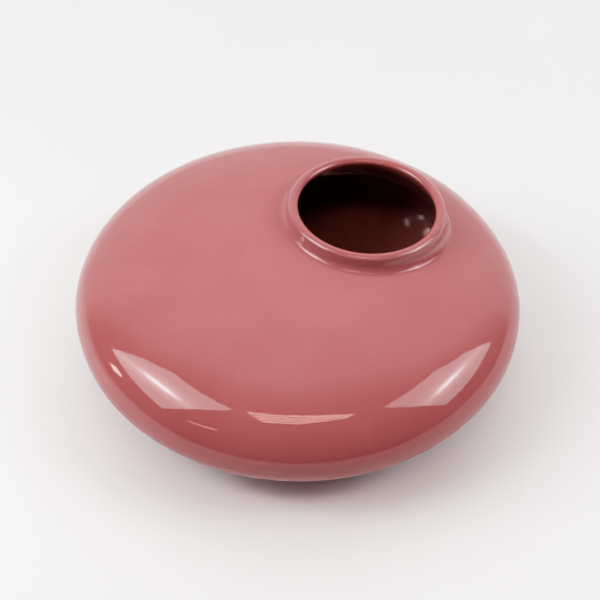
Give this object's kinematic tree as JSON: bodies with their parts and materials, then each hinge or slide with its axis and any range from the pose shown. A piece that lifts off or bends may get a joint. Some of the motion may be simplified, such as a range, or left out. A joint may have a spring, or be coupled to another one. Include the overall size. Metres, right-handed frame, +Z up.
{
  "type": "vase",
  "caption": "Squat round glazed ceramic vase: a hollow pebble-shaped body with an off-centre collared mouth on its low dome and a bare foot ring under it.",
  "frame": {"origin": "centre of the foot ring's contact face, under the axis of the body", "axes": "+Z up along the axis of the body; +X from that axis towards the mouth; the XZ plane is the mirror plane"},
  "size_m": [0.23, 0.23, 0.0834],
  "materials": {
    "clay": "bare fired earthenware, matt and slightly gritty",
    "slip": "fired clay slip in a luted seam, matt",
    "glaze": "glossy dusty-rose glaze with fine pinholes and specks"
  },
  "bodies": {
    "root": {"base_bowl": "clay", "top_dome": "clay", "mouth_collar": "clay", "foot_ring": "clay", "equator_slip": "slip", "collar_slip": "slip", "foot_slip": "slip", "outer_glaze": "glaze", "inner_glaze": "glaze", "base_glaze": "glaze"}
  },
  "joints": []
}
